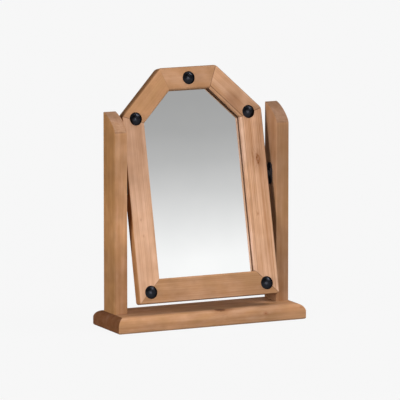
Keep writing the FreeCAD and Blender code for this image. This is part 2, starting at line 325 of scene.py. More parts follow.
@dataclass(frozen=True)
class PineFinish:
    """Waxed honey-brown pine."""

    early: Colour = (0.552, 0.304, 0.163)
    late: Colour = (0.355, 0.160, 0.066)
    pink: Colour = (1.38, 1.58, 2.05)
    olive: Colour = (0.80, 0.84, 0.62)
    worn: Colour = (0.66, 0.41, 0.26)
    knot_heart: Colour = (0.115, 0.042, 0.018)
    knot_rim: Colour = (0.270, 0.110, 0.048)
    knot_halo: Colour = (0.62, 0.50, 0.44)
    seam: Colour = (0.070, 0.032, 0.016)
    # painted shade at the foot of the inner lip
    painted_lip_shade: Colour = (0.08, 0.045, 0.022)
    # end grain's own darker colour, deepened by painted shade
    end_grain_shade: Colour = (0.32, 0.25, 0.22)
    crown_light: Colour = (0.79, 0.84, 0.99)
    crown_dark: Colour = (0.66, 0.68, 0.76)
    ring_spacing: float = 0.0036
    roughness: float = 0.58
    specular: float = 0.015
    seam_width: float = 0.0007
    lip_edge: float = 0.0015
    lip_fade: float = 0.002
    relief: float = 0.0004

    def material(self, board: Board) -> bpy.types.Material:
        """Finished material of one board."""
        return PineCoat(self, board).finish()


class PineCoat(Coat):
    """Grain, knots, ends and seams of one board of pine."""

    def __init__(self, pine: PineFinish, board: Board) -> None:
        """Set out the board's own coordinates.

        Args:
            pine: colours of the wood.
            board: the piece, its frame and its figure.
        """
        super().__init__("pine_" + board.node)
        self.pine = pine
        self.board = board
        place = self.places(board.pose)
        self.along, self.across, self.out = self.split(place)
        self.sample = self.vector("ADD", place, SEED_STEP * board.seed)

    def finish(self) -> bpy.types.Material:
        """Lay the figure, the tone and every mark of the board over each other.

        Returns:
            The finished material.
        """
        board, pine = self.board, self.pine
        late, reaches, knot_rings = self.rings()
        fibre = self.noise(self.sample, (16.0, 950.0, 950.0), 3.0, 0.6)
        cloud = self.noise(self.sample, (15.0, 11.0, 11.0), 2.0)
        fleck = self.step(self.noise(self.sample, (70.0, 1300.0, 1300.0), 1.0), 0.66, 0.78)
        colour = self.scaled(self.figure(late), self.tone(fibre, cloud, fleck))
        # painted shade and light on the long sides, then painted shade at the inner lip's foot
        colour = self.paint_side_shade(colour)
        if board.lip:
            colour = self.lip(colour)
        colour = self.knots(colour, reaches, knot_rings)
        wear = self.arris(cloud)
        colour = self.mix(self.times(wear, 0.08), colour, pine.worn)
        polish = self.times(wear, -0.07)
        rough = self.total(pine.roughness, self.swing(fibre, 0.16), self.swing(cloud, 0.14), polish)
        weights = ((fibre, 0.5), (late, 0.35), (fleck, -0.8))
        height = self.total(*(self.times(part, weight) for part, weight in weights))
        if board.crown:
            colour = self.crown(colour, late)
        if board.ends:
            end = self.end_grain()
            dots = self.noise(self.sample, (300.0, 420.0, 420.0), 3.0, 0.6)
            # end grain: its own darker colour, deepened by painted shade on the board's ends
            bare = self.vector("MULTIPLY", colour, pine.end_grain_shade)
            bare = self.scaled(bare, self.math("MULTIPLY_ADD", dots, 0.5, 0.75))
            colour = self.mix(end, colour, bare)
            rough = self.math("MULTIPLY_ADD", end, 0.12, rough)
        if board.mitres:
            seam = self.seams()
            colour = self.mix(seam, colour, pine.seam)
            height = self.math("MULTIPLY_ADD", seam, -1.5, height)
            rough = self.math("MULTIPLY_ADD", seam, 0.2, rough)
        self.bump(height, 0.22, pine.relief)
        return self.dress(colour, rough, Specular_IOR_Level=pine.specular)

    def figure(self, late: Socket) -> Socket:
        """Colour of the grain, pinker in some places and more olive in others.

        Args:
            late: late wood from 0 to 1.

        Returns:
            The wood's colour at an even tone.
        """
        board, pine = self.board, self.pine
        streak = self.noise(self.sample, (6.0, 230.0, 230.0), 3.0, 0.55)
        band = self.noise(self.sample, (2.5, 75.0, 75.0), 2.0)
        slow = self.noise(self.sample, (5.0, 22.0, 22.0), 2.0)
        quick = self.noise(self.sample, (24.0, 52.0, 52.0), 2.0)
        grain = self.math("MULTIPLY_ADD", late, board.figure, 0.38)
        grain = self.total(grain, *(self.swing(part, -2.0 * board.streaks) for part in (streak, band)))
        colour = self.mix(grain, pine.early, pine.late)
        warm = self.total(board.blush, self.swing(slow, 1.1), self.swing(quick, board.mottle))
        colour = self.mix(warm, colour, self.vector("MULTIPLY", colour, pine.pink))
        cool = self.times(warm, -1.0)
        return self.mix(cool, colour, self.vector("MULTIPLY", colour, pine.olive))

    def tone(self, fibre: Socket, cloud: Socket, fleck: Socket) -> Socket:
        """How light the wood is from place to place.

        Args:
            fibre: fine noise along the grain.
            cloud: slow noise.
            fleck: short dark pores from 0 to 1.

        Returns:
            Factor on the colour.
        """
        board = self.board
        blotch = self.noise(self.sample, (34.0, 40.0, 40.0), 2.0)
        swings = ((fibre, 0.10), (cloud, board.cloud * 3), (blotch, board.blotch * 3))
        tone = self.total(board.tone, *(self.swing(part, amount) for part, amount in swings))
        tone = self.math("MULTIPLY_ADD", fleck, -0.12, tone)
        return self.times(tone, self.drift()) if board.drift else tone

    def drift(self) -> Socket:
        """Slow change of tone along the board.

        Returns:
            Factor on the colour.
        """
        points = self.board.drift
        first, last = points[0][0], points[-1][0]
        share = self.math("DIVIDE", self.math("SUBTRACT", self.along, first), last - first)
        made = self.node("FloatCurve", {"Value": share})
        curve = made.mapping.curves[0]
        while len(curve.points) < len(points):
            curve.points.new(0.5, 0.5)
        for point, (where, tone) in zip(curve.points, points):
            point.location = ((where - first) / (last - first), tone / 2.0)
        made.mapping.update()
        return self.times(made.outputs[0], 2.0)

    def rings(self) -> tuple[Socket, list[Socket], Value]:
        """Growth rings round the board's pith, bent round its knots.

        Returns:
            Late wood from 0 to 1, the reach of each knot, and the rings within the knots.
        """
        board = self.board
        side, depth = board.pith
        sideways = self.math("SUBTRACT", self.across, board.width / 2 + side)
        distance = self.vector("LENGTH", self.join(sideways, self.math("SUBTRACT", self.out, depth), 0.0))
        wander = self.swing(self.noise(self.sample, (2.4, 9.0, 9.0), 2.0), board.wander)
        ripple = self.swing(self.noise(self.sample, (7.0, 45.0, 45.0), 2.0), 0.0022)
        distance = self.total(distance, self.times(self.along, board.taper), wander, ripple)
        reaches = []
        knot_rings: Value = 0.0
        for knot in board.knots:
            away = self.join(
                self.math("DIVIDE", self.math("SUBTRACT", self.along, knot.along), knot.length),
                self.math("SUBTRACT", self.across, knot.across),
                self.math("SUBTRACT", self.out, knot.out),
            )
            wobble = self.swing(self.noise(self.sample, (120.0, 120.0, 120.0), 1.0), knot.radius * 0.7)
            reach = self.math("ADD", self.vector("LENGTH", away), wobble)
            pull = self.step(reach, knot.radius * 3.5, 0.0, 0.0, knot.radius * 1.6)
            distance = self.math("ADD", distance, pull)
            reaches.append(reach)
            knot_rings = self.math("ADD", self.math("PINGPONG", reach, knot.radius * 0.2), knot_rings)
        turns = self.math("FRACT", self.math("DIVIDE", distance, self.pine.ring_spacing))
        rise = self.step(turns, 0.25, 0.86)
        fall = self.step(turns, 0.90, 1.0, 1.0, 0.0)
        strength = self.step(self.noise(self.sample, (1.5, 60.0, 60.0), 2.0), 0.25, 0.8, 0.15, 0.75)
        late = self.times(self.times(rise, fall), strength)
        return late, reaches, knot_rings

    def from_side(self) -> Socket:
        """Distance from the nearer long side."""
        return self.math("MINIMUM", self.across, self.math("SUBTRACT", self.board.width, self.across))

    def paint_side_shade(self, colour: Socket) -> Socket:
        """Painted shade and light on the board's two sides, which turn them darker or paler.

        Args:
            colour: the wood's colour.

        Returns:
            The colour with its sides.
        """
        board = self.board
        for edge, tint, reach in zip((0.0, board.width), board.sides, board.rounds):
            if tint == PLAIN:
                continue
            distance = self.math("ABSOLUTE", self.math("SUBTRACT", self.across, edge))
            # a post's shadow painted on the first side gives way here to a lighter painted shade
            if board.fade and edge == 0.0:
                start, end, later = board.fade
                tint = self.mix(self.step(self.along, start, end), tint, later)
            near = self.step(distance, reach, reach * 0.25)
            colour = self.mix(near, colour, self.vector("MULTIPLY", colour, tint))
        return colour

    def lip(self, colour: Socket) -> Socket:
        """Painted shade at the foot of a frame member's inner edge, next to the glass.

        Args:
            colour: the wood's colour.

        Returns:
            The colour with its dark foot.
        """
        pine, width = self.pine, self.board.width
        start, gain = self.board.lip
        depth = self.math("MULTIPLY_ADD", self.along, gain, self.times(self.out, -1.0))
        inside = self.step(self.across, width - pine.lip_edge, width - pine.lip_edge / 3)
        foot = self.times(self.step(depth, start, start + pine.lip_fade), inside)
        return self.mix(foot, colour, self.vector("MULTIPLY", colour, pine.painted_lip_shade))

    def knots(self, colour: Socket, reaches: list[Socket], knot_rings: Value) -> Socket:
        """Knots laid over the board's colour.

        Args:
            colour: the wood's colour.
            reaches: distance from each knot.
            knot_rings: rings within the knots.

        Returns:
            The colour with its knots.
        """
        pine = self.pine
        for knot, reach in zip(self.board.knots, reaches):
            radius = knot.radius
            halo = self.step(reach, radius * 2.6, radius * 0.7, 0.0, knot.halo)
            core = self.step(reach, radius * 1.08, radius * 0.72, 0.0, knot.strength)
            if knot.hollow:
                pale = self.step(reach, radius * 0.2, radius * 0.65, 1.0 - knot.hollow)
                core = self.times(core, pale)
            heart = self.step(reach, radius * 0.75, radius * 0.15)
            wood = self.mix(heart, pine.knot_rim, pine.knot_heart)
            rings = self.step(knot_rings, 0.0, radius * 0.2, 0.75 * knot.tone, 1.3 * knot.tone)
            wood = self.scaled(wood, rings)
            colour = self.mix(halo, colour, self.vector("MULTIPLY", colour, pine.knot_halo))
            colour = self.mix(core, colour, wood)
        return colour

    def arris(self, cloud: Socket) -> Socket:
        """Worn long edges of the board.

        Args:
            cloud: slow noise that breaks the wear up.

        Returns:
            Wear from 0 to 1.
        """
        half = self.board.width / 2
        deep = self.board.thickness / 2
        side = self.math("ABSOLUTE", self.math("SUBTRACT", self.across, half))
        face = self.math("ABSOLUTE", self.math("ADD", self.out, deep))
        nearer = self.math("MINIMUM", self.math("DIVIDE", side, half), self.math("DIVIDE", face, deep))
        edge = self.step(nearer, *self.board.arris)
        return self.times(edge, self.step(cloud, 0.3, 0.7, 0.35, 1.0))

    def crown(self, colour: Socket, late: Socket) -> Socket:
        """End grain on a post's curved top.

        Args:
            colour: the wood's colour.
            late: late wood from 0 to 1.

        Returns:
            The colour with its top.
        """
        start, top = self.board.crown
        inside = self.step(self.from_side(), 0.0002, 0.0020)
        shows = self.times(self.step(self.along, start, start + 0.004), inside)
        lines = self.mix(late, self.pine.crown_light, self.pine.crown_dark)
        lines = self.scaled(lines, self.step(self.along, top - 0.025, top, 1.0, 0.80))
        return self.mix(shows, colour, self.vector("MULTIPLY", colour, lines))

    def end_grain(self) -> Socket:
        """Where the board's end moulding shows its end grain.

        Returns:
            End grain from 0 to 1.
        """
        half_length, reach = self.board.ends
        from_end = self.math("SUBTRACT", half_length, self.math("ABSOLUTE", self.along))
        past_mitre = self.step(self.math("SUBTRACT", self.from_side(), from_end), -0.0006, 0.0016)
        return self.times(past_mitre, self.step(from_end, reach, reach - 0.003))

    def seams(self) -> Socket:
        """Dark lines at the board's mitres and along its inner round.

        Returns:
            Darkness of the lines from 0 to 1.
        """
        width = self.pine.seam_width
        uneven = self.noise(self.sample, (110.0, 110.0, 40.0), 2.0)
        result: Value = 0.0
        for mitre in self.board.mitres:
            nx, ny = mitre.normal
            start = -(mitre.along * nx + mitre.across * ny)
            away = self.math("MULTIPLY_ADD", self.across, ny, start)
            away = self.math("MULTIPLY_ADD", self.along, nx, away)
            line = self.step(self.math("ABSOLUTE", away), width * 1.5, width * 0.5)
            dark = self.step(uneven, 0.25, 0.6, mitre.strength * 0.55, mitre.strength)
            result = self.math("MAXIMUM", self.times(line, dark), result)
        return result


@dataclass(frozen=True)
class SilverFinish:
    """Silvered glass."""

    tint: Colour = (0.905, 0.912, 0.910)
    shade: Colour = (0.880, 0.890, 0.888)
    roughness: float = 0.001

    def material(self, name: str) -> bpy.types.Material:
        """Mirror silver with a trace of haze.

        Args:
            name: name of the material.

        Returns:
            The finished material.
        """
        coat = Coat(name)
        place = coat.places()
        haze = coat.noise(place, (9.0, 9.0, 9.0), 2.0)
        smear = coat.noise(place, (40.0, 40.0, 6.0), 3.0, 0.6)
        colour = coat.mix(coat.step(haze, 0.3, 0.7), self.tint, self.shade)
        rough = coat.math("MULTIPLY_ADD", coat.times(haze, smear), 0.004, self.roughness)
        return coat.dress(colour, rough, Metallic=1.0)


@dataclass(frozen=True)
class IronFinish:
    """Satin black paint on iron."""

    paint: Colour = (0.0175, 0.0182, 0.0220)
    dusty: Colour = (0.0230, 0.0238, 0.0285)
    bare: Colour = (0.060, 0.057, 0.056)
    roughness: float = 0.35
    metallic: float = 1.0
    specular: float = 0.5

    def material(self, name: str) -> bpy.types.Material:
        """Black paint with a lightly uneven surface.

        Args:
            name: name of the material.

        Returns:
            The finished material.
        """
        coat = Coat(name)
        place = coat.places()
        coarse = coat.noise(place, (210.0, 210.0, 210.0), 2.0)
        fine = coat.noise(place, (1400.0, 1400.0, 1400.0), 2.0)
        chip = coat.step(coat.noise(place, (520.0, 520.0, 520.0), 4.0, 0.7), 0.70, 0.76)
        colour = coat.mix(coat.step(coarse, 0.35, 0.75), self.paint, self.dusty)
        colour = coat.mix(coat.times(chip, 0.06), colour, self.bare)
        rough = coat.total(self.roughness, coat.swing(coarse, 0.14), coat.swing(fine, 0.08))
        coat.bump(coat.math("MULTIPLY_ADD", coarse, 1.6, coat.times(fine, 0.25)), 0.025, 0.0003)
        return coat.dress(
            colour,
            rough,
            Metallic=self.metallic,
            Specular_IOR_Level=self.specular,
            Specular_Tint=(0.0, 0.0, 0.0),
        )


@dataclass(frozen=True)
class SteelFinish:
    """Bright zinc on steel."""

    zinc: Colour = (0.56, 0.56, 0.55)
    dull: Colour = (0.40, 0.40, 0.385)
    roughness: float = 0.32

    def material(self, name: str) -> bpy.types.Material:
        """Zinc with its mottle and fine turning marks.

        Args:
            name: name of the material.

        Returns:
            The finished material.
        """
        coat = Coat(name)
        place = coat.places()
        mottle = coat.noise(place, (420.0, 420.0, 420.0), 3.0)
        marks = coat.noise(place, (2600.0, 300.0, 300.0), 2.0)
        colour = coat.mix(coat.step(mottle, 0.3, 0.75), self.zinc, self.dull)
        rough = coat.total(self.roughness, coat.swing(mottle, 0.18), coat.swing(marks, 0.08))
        coat.bump(coat.math("MULTIPLY_ADD", marks, 0.4, mottle), 0.12, 0.0002)
        return coat.dress(colour, rough, Metallic=1.0)


@dataclass(frozen=True)
class FibreFinish:
    """Pressed black fibre."""

    light: Colour = (0.040, 0.037, 0.036)
    dark: Colour = (0.020, 0.018, 0.017)
    roughness: float = 0.78
    specular: float = 0.25

    def material(self, name: str) -> bpy.types.Material:
        """Speckled pressed fibre.

        Args:
            name: name of the material.

        Returns:
            The finished material.
        """
        coat = Coat(name)
        place = coat.places()
        speck = coat.noise(place, (1100.0, 1100.0, 1100.0), 3.0, 0.65)
        colour = coat.mix(coat.step(speck, 0.35, 0.65), self.light, self.dark)
        coat.bump(speck, 0.25, 0.0002)
        rough = coat.total(self.roughness, coat.swing(speck, 0.15))
        return coat.dress(colour, rough, Specular_IOR_Level=self.specular)


@dataclass(frozen=True)
class BeechFinish:
    """Bare beech dowel with short flecks."""

    light: Colour = (0.64, 0.45, 0.29)
    fleck: Colour = (0.46, 0.29, 0.17)
    roughness: float = 0.66
    specular: float = 0.3

    def material(self, name: str) -> bpy.types.Material:
        """Beech with its ray flecks.

        Args:
            name: name of the material.

        Returns:
            The finished material.
        """
        coat = Coat(name)
        place = coat.places()
        fleck = coat.step(coat.noise(place, (900.0, 900.0, 260.0), 2.0), 0.55, 0.75)
        cloud = coat.noise(place, (120.0, 120.0, 40.0), 2.0)
        colour = coat.mix(fleck, self.light, self.fleck)
        colour = coat.scaled(colour, coat.total(1.0, coat.swing(cloud, 0.25)))
        coat.bump(fleck, 0.2, 0.0002)
        rough = coat.total(self.roughness, coat.swing(cloud, 0.12))
        return coat.dress(colour, rough, Specular_IOR_Level=self.specular)


@dataclass(frozen=True)
class HardboardFinish:
    """Bare hardboard, its rough side outwards with the press screen's mark."""

    light: Colour = (0.300, 0.170, 0.088)
    dark: Colour = (0.175, 0.090, 0.042)
    screen_pitch: float = 0.0016
    roughness: float = 0.74
    specular: float = 0.25

    def material(self, name: str, pose: Matrix) -> bpy.types.Material:
        """Pressed fibres under a fine screen pattern.

        Args:
            name: name of the material.
            pose: the panel's frame.

        Returns:
            The finished material.
        """
        coat = Coat(name)
        place = coat.places(pose)
        x, _, z = coat.split(place)
        fibre = coat.noise(place, (650.0, 650.0, 650.0), 4.0, 0.7)
        cloud = coat.noise(place, (14.0, 14.0, 14.0), 3.0)
        rows = [coat.math("PINGPONG", value, self.screen_pitch / 2) for value in (x, z)]
        screen = coat.math("DIVIDE", coat.math("MINIMUM", *rows), self.screen_pitch / 2)
        colour = coat.mix(coat.step(fibre, 0.3, 0.7), self.light, self.dark)
        colour = coat.scaled(colour, coat.total(1.0, coat.swing(cloud, 0.35), coat.swing(screen, 0.12)))
        coat.bump(coat.math("MULTIPLY_ADD", fibre, 0.5, screen), 0.3, 0.0003)
        rough = coat.total(self.roughness, coat.swing(fibre, 0.12))
        return coat.dress(colour, rough, Specular_IOR_Level=self.specular)


def clothe(node: str, material: bpy.types.Material) -> None:
    """Give a CAD node its finish.

    Args:
        node: name of the node.
        material: the finish.
    """
    slots = frame["nodes"][node].data.materials
    slots.clear()
    slots.append(material)
    log.info("%s dressed in %s", node, material.name)


def pose_of(origin: Vector, along: Vector, across: Vector) -> Matrix:
    """Frame of a board from its origin and two of its axes.

    Args:
        origin: the frame's origin.
        along: unit vector along the grain.
        across: unit vector across the face.

    Returns:
        The frame as a matrix with its axes in the columns.
    """
    out = along.cross(across)
    turn = Matrix((along, across, out)).transposed().to_4x4()
    return Matrix.Translation(origin) @ turn


X, Y, Z = Vector((1, 0, 0)), Vector((0, 1, 0)), Vector((0, 0, 1))


@dataclass
class Stand:
    """Base board and posts with the dowels and screws that join them."""

    half_length: float = 0.242
    base_depth: float = 0.147
    base_thickness: float = 0.0362
    moulding: float = 0.0185
    post_width: float = 0.0325
    post_depth: float = 0.063
    post_front: float = -0.0135
    post_inner: float = 0.1925
    post_top: float = 0.504
    crown_start: float = 0.459
    pine: PineFinish = PineFinish()
    beech: BeechFinish = BeechFinish()
    steel: SteelFinish = SteelFinish()

    def base(self) -> Board:
        """The base board, grain along its length."""
        origin = Vector((0, -self.base_depth / 2, self.base_thickness))
        knots = (
            Knot(0.0250, 0.0180, 0.0100, 0.95, -0.0005, 1.5, 0.5, tone=0.5),
            Knot(0.0440, 0.0160, 0.0050, 0.0, -0.0005, 2.0, 0.55),
            Knot(0.1366, 0.0007, 0.0028, 0.6, -0.0148, 1.5),
            Knot(0.2302, 0.0046, 0.0016, 0.6, -0.0073, 1.2),
        )
        return Board(
            "base_board", pose_of(origin, X, Y), self.base_depth, self.base_thickness,
            seed=3.1, tone=0.92, blush=0.05, mottle=1.3, pith=(0.03, -0.09), arris=(0.60, 0.80),
            drift=((-0.24, 1.04), (-0.08, 0.98), (0.06, 0.88), (0.16, 0.81), (0.20, 0.86), (0.24, 1.04)),
            knots=knots, ends=(self.half_length, self.moulding),
        )

    def post(self, side: Side) -> Board:
        """One post, grain upright.

        Args:
            side: where it stands.

        Returns:
            The board.
        """
        left = side is Side.LEFT
        right_edge = -self.post_inner if left else self.post_inner + self.post_width
        drift = (
            ((0.03, 0.95), (0.14, 0.93), (0.26, 1.14), (0.36, 0.96), (0.50, 1.0))
            if left
            else ((0.03, 0.73), (0.15, 0.70), (0.27, 0.75), (0.40, 0.69), (0.50, 0.78))
        )
        pose = pose_of(Vector((right_edge, self.post_front, 0)), Z, -X)
        return Board(
            side.value + "_post", pose, self.post_width, self.post_depth,
            seed=5.3 if left else 8.9, tone=0.95, drift=drift, blush=0.0, cloud=0.10,
            blotch=0.14 if left else 0.08, pith=(0.004, 0.11),
            # the second side, which faces left, is darkened as painted shade
            sides=(PLAIN, (0.70, 0.66, 0.53) if left else (0.91, 0.90, 0.90)), rounds=(0.0022, 0.0032),
            crown=(self.crown_start, self.post_top),
        )

    def dress(self) -> None:
        """Finish every piece of the stand."""
        for board in (self.base(), *(self.post(side) for side in Side)):
            clothe(board.node, self.pine.material(board))
        clothe("post_dowels", self.beech.material("beech_post_dowels"))
        clothe("post_screws", self.steel.material("zinc_post_screws"))


@dataclass
class PivotHardware:
    """Plates, pins, washers, springs and nuts of both pivots."""

    iron: IronFinish = IronFinish(
        paint=(0.022, 0.019, 0.021),
        dusty=(0.030, 0.026, 0.029),
        bare=(0.07, 0.06, 0.07),
        metallic=0.0,
        specular=0.0,
    )
    steel: SteelFinish = SteelFinish()
    fibre: FibreFinish = FibreFinish()

    def dress(self) -> None:
        """Finish the hardware of both sides."""
        black = self.iron.material("black_iron_plates")
        zinc = self.steel.material("zinc_pivots")
        matt = self.fibre.material("fibre_washers")
        for side in Side:
            clothe(side.value + "_post_plate", black)
            clothe(side.value + "_frame_plate", black)
            clothe(side.value + "_friction_washer", matt)
            for piece in ("_pivot_pin", "_disc_spring", "_pivot_nut"):
                clothe(side.value + piece, zinc)
        for group in ("post_plate_screws", "frame_plate_screws"):
            clothe(group, black)


@dataclass
class MirrorFrame:
    """Six mitred members with studs, the glass and its back panel."""

    width: float = 0.361
    below_pivot: float = 0.2842
    above_pivot: float = 0.2623
    shoulder_cut: float = 0.107
    stile_width: float = 0.0565
    crown_width: float = 0.0535
    thickness: float = 0.025
    inner_round: float = 0.0052
    lip_depth: float = 0.013
    glass_thickness: float = 0.004
    glass_edge: float = 0.0515
    silver_depth: float = 0.0036
    rest_tilt: float = 13.2
    pine: PineFinish = PineFinish()
    iron: IronFinish = IronFinish()
    silver: SilverFinish = SilverFinish()
    hardboard: HardboardFinish = HardboardFinish()
    steel: SteelFinish = SteelFinish()
    beech: BeechFinish = BeechFinish()

    def __post_init__(self) -> None:
        """Work out the frame's pose at rest and its corners."""
        pivot = Vector(frame["joints"][0]["pos_m"])
        turn = Matrix.Rotation(-math.radians(self.rest_tilt), 4, "X")
        self.rest = Matrix.Translation(pivot) @ turn
        half = self.width / 2
        crown = half - self.shoulder_cut
        shoulder = self.above_pivot - self.shoulder_cut
        corners = (
            (-half, -self.below_pivot), (half, -self.below_pivot), (half, shoulder),
            (crown, self.above_pivot), (-crown, self.above_pivot), (-half, shoulder),
        )
        self.outer = [Vector((x, 0, z)) for x, z in corners]
        wide, narrow = self.stile_width, self.crown_width
        self.widths = [wide, wide, narrow, narrow, narrow, wide]
        self.inner = [self.inner_corner(i) for i in range(len(self.outer))]

    @staticmethod
    def inward(along: Vector) -> Vector:
        """Direction from a side of the frame towards the opening."""
        return Vector((-along.z, 0, along.x))

    def side(self, i: int) -> Vector:
        """Unit vector along one side of the frame."""
        return (self.outer[(i + 1) % len(self.outer)] - self.outer[i]).normalized()

    def inner_corner(self, i: int) -> Vector:
        """Corner of the opening where two members' inner edges cross.

        Args:
            i: number of the corner.

        Returns:
            Its place in the frame's own plane.
        """
        before, after = self.side(i - 1), self.side(i)
        start = self.outer[i] + self.inward(before) * self.widths[i - 1]
        target = self.outer[i] + self.inward(after) * self.widths[i]
        run = (target - start).dot(self.inward(after)) / before.dot(self.inward(after))
        return start + before * run

    def member(
        self, i: int, name: str, mitre_strengths: tuple[float, float], quirk: float = 0.0, **figure: object
    ) -> Board:
        """One frame member.

        Args:
            i: number of the corner at which it starts.
            name: name of its node.
            mitre_strengths: how dark the joint lines at its start and end are.
            quirk: how dark the line along its inner round is.
            figure: the board's own figure.

        Returns:
            The board.
        """
        along = self.side(i)
        across = self.inward(along)
        front = Vector((0, -self.thickness / 2, 0))
        pose = self.rest @ pose_of(self.outer[i] + front, along, across)
        mitres = []
        for j, strength in zip((i, (i + 1) % len(self.outer)), mitre_strengths):
            corner = self.outer[j] - self.outer[i]
            line = self.inner[j] - self.outer[j]
            run, rise = line.dot(along), line.dot(across)
            length = math.hypot(run, rise)
            normal = (rise / length, -run / length)
            mitres.append(Mitre(corner.dot(along), corner.dot(across), normal, strength))
        if quirk:
            mitres.append(Mitre(0.0, self.widths[i] - self.inner_round, (0.0, 1.0), quirk))
        return Board(name, pose, self.widths[i], self.thickness, mitres=tuple(mitres), **figure)

    def members(self) -> list[Board]:
        """The six members in the order of the frame's corners."""
        # the sides tints paint shade on every member's outer side and on the inner lips of the right
        # shoulder and top rail, and paint light on the right stile's inner lip
        return [
            self.member(
                0, "frame_bottom_rail", (0.35, 0.75), seed=1.3, tone=0.82, blush=0.05, cloud=0.10,
                drift=((0.0, 0.99), (0.15, 0.98), (0.25, 0.95), (0.36, 0.87)), sides=(shade(0.6), PLAIN),
            ),
            self.member(
                1, "frame_right_stile", (0.75, 0.8), 0.35, seed=2.7, tone=1.0, blush=0.55, cloud=0.08,
                drift=((0.0, 0.90), (0.12, 0.94), (0.24, 0.98), (0.36, 0.95), (0.44, 0.90)),
                figure=0.5, streaks=0.9, sides=(shade(0.5), (1.0, 1.05, 1.15)), rounds=(0.003, 0.005),
                lip=(0.0118, 0.0),
                knots=(
                    Knot(0.3193, 0.0220, 0.0056, 0.9, length=2.0, halo=0.25, hollow=0.95),
                    Knot(0.3224, 0.0248, 0.0026, 0.95, length=1.8, halo=0.3),
                    Knot(0.3095, 0.0226, 0.0028, 0.85, length=1.3, halo=0.3),
                    Knot(0.3294, 0.0241, 0.0022, 0.5, length=1.3, halo=0.3),
                    Knot(0.190, 0.0357, 0.0020, 0.3, halo=0.25),
                ),
            ),
            self.member(
                2, "frame_right_shoulder", (0.8, 0.7), 0.9, seed=4.4, tone=0.92, blush=0.35, cloud=0.14,
                drift=((0.0, 0.75), (0.06, 0.82), (0.151, 1.0)),
                sides=(shade(0.6), shade(0.8)), rounds=(0.003, 0.0012), lip=(0.0105, 0.03),
                knots=(Knot(0.063, 0.0350, 0.0085, 0.0, halo=0.45, length=1.9),),
            ),
            self.member(
                3, "frame_top_rail", (0.7, 0.15), seed=6.1, tone=1.0, blush=0.05, cloud=0.06,
                drift=((0.0, 0.80), (0.147, 0.88)),
                figure=0.1, streaks=0.2, sides=(shade(0.5), shade(0.8)), rounds=(0.003, 0.0020),
            ),
            self.member(
                4, "frame_left_shoulder", (0.15, 0.8), seed=7.2, tone=0.90, blush=0.05, cloud=0.10,
                drift=((0.0, 1.06), (0.07, 1.0), (0.151, 0.97)),
                figure=0.1, streaks=0.2, sides=(shade(0.32), PLAIN), rounds=(0.0045, 0.0022),
            ),
            self.member(
                5, "frame_left_stile", (0.8, 0.35), seed=9.5, tone=0.98, blush=0.70, cloud=0.07,
                drift=((0.0, 0.81), (0.10, 0.84), (0.22, 0.93), (0.36, 0.97), (0.44, 0.95)),
                # painted shadow of the left post on the outer side, with a lighter painted shade below it
                figure=0.3, streaks=0.4, sides=((0.30, 0.18, 0.08), PLAIN), rounds=(0.003, 0.0022),
                fade=(0.235, 0.275, (0.57, 0.47, 0.32)),
                knots=(
                    Knot(0.2437, 0.0230, 0.0016, 0.2, halo=0.25),
                    Knot(0.2812, 0.0254, 0.0016, 0.2, halo=0.25),
                ),
            ),
        ]

    def glass_corners(self) -> list[Vector]:
        """Corners of the glass on the mitre lines."""
        share = self.glass_edge / self.stile_width
        return [o.lerp(i, share) for o, i in zip(self.outer, self.inner)]

    def build_silver(self) -> bpy.types.Object:
        """The silvered back of the glass, set behind the lip by the depth that the glass seems to have.

        Returns:
            The piece.
        """
        mesh = bmesh.new()
        front = -self.thickness / 2 + self.lip_depth + self.silver_depth
        back = -self.thickness / 2 + self.lip_depth + self.glass_thickness
        corners = [mesh.verts.new(c + Vector((0, front, 0))) for c in self.glass_corners()]
        face = mesh.faces.new(corners)
        raised = bmesh.ops.extrude_face_region(mesh, geom=[face])["geom"]
        moved = [v for v in raised if isinstance(v, bmesh.types.BMVert)]
        bmesh.ops.translate(mesh, vec=(0, back - front, 0), verts=moved)
        bmesh.ops.recalc_face_normals(mesh, faces=mesh.faces)
        bmesh.ops.transform(mesh, matrix=self.rest, verts=mesh.verts)
        return finished("mirror_silver", mesh)

    def dress(self) -> None:
        """Finish every piece of the mirror."""
        for board in self.members():
            clothe(board.node, self.pine.material(board))
        black = self.iron.material("black_iron_studs")
        for stud in ("top", "upper_left", "upper_right", "lower_left", "lower_right"):
            clothe("stud_" + stud, black)
        glass = self.silver.material("silvered_glass")
        clothe("mirror_glass", glass)
        silver = self.build_silver()
        silver.data.materials.append(glass)
        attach(silver, Body.MIRROR.value)
        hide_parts("mirror_glass")
        log.info("mirror_silver stands for mirror_glass")
        clothe("back_panel", self.hardboard.material("hardboard_panel", self.rest))
        clothe("back_panel_screws", self.steel.material("zinc_panel_screws"))
        clothe("mitre_dowels", self.beech.material("beech_mitre_dowels"))


def finished(name: str, mesh: bmesh.types.BMesh) -> bpy.types.Object:
    """Object at the origin from a finished mesh.

    Args:
        name: name of the piece.
        mesh: its shape, which is freed.

    Returns:
        The new object.
    """
    data = bpy.data.meshes.new(name)
    mesh.to_mesh(data)
    mesh.free()
    made = bpy.data.objects.new(name, data)
    bpy.context.scene.collection.objects.link(made)
    return made


@dataclass(frozen=True)
class Lamp:
    """A broad even light: its strength, width in degrees and direction, and if shiny pieces show it."""

    name: str
    strength: float
    angle: float
    comes_from: tuple[float, float, float]
    glints: bool = True


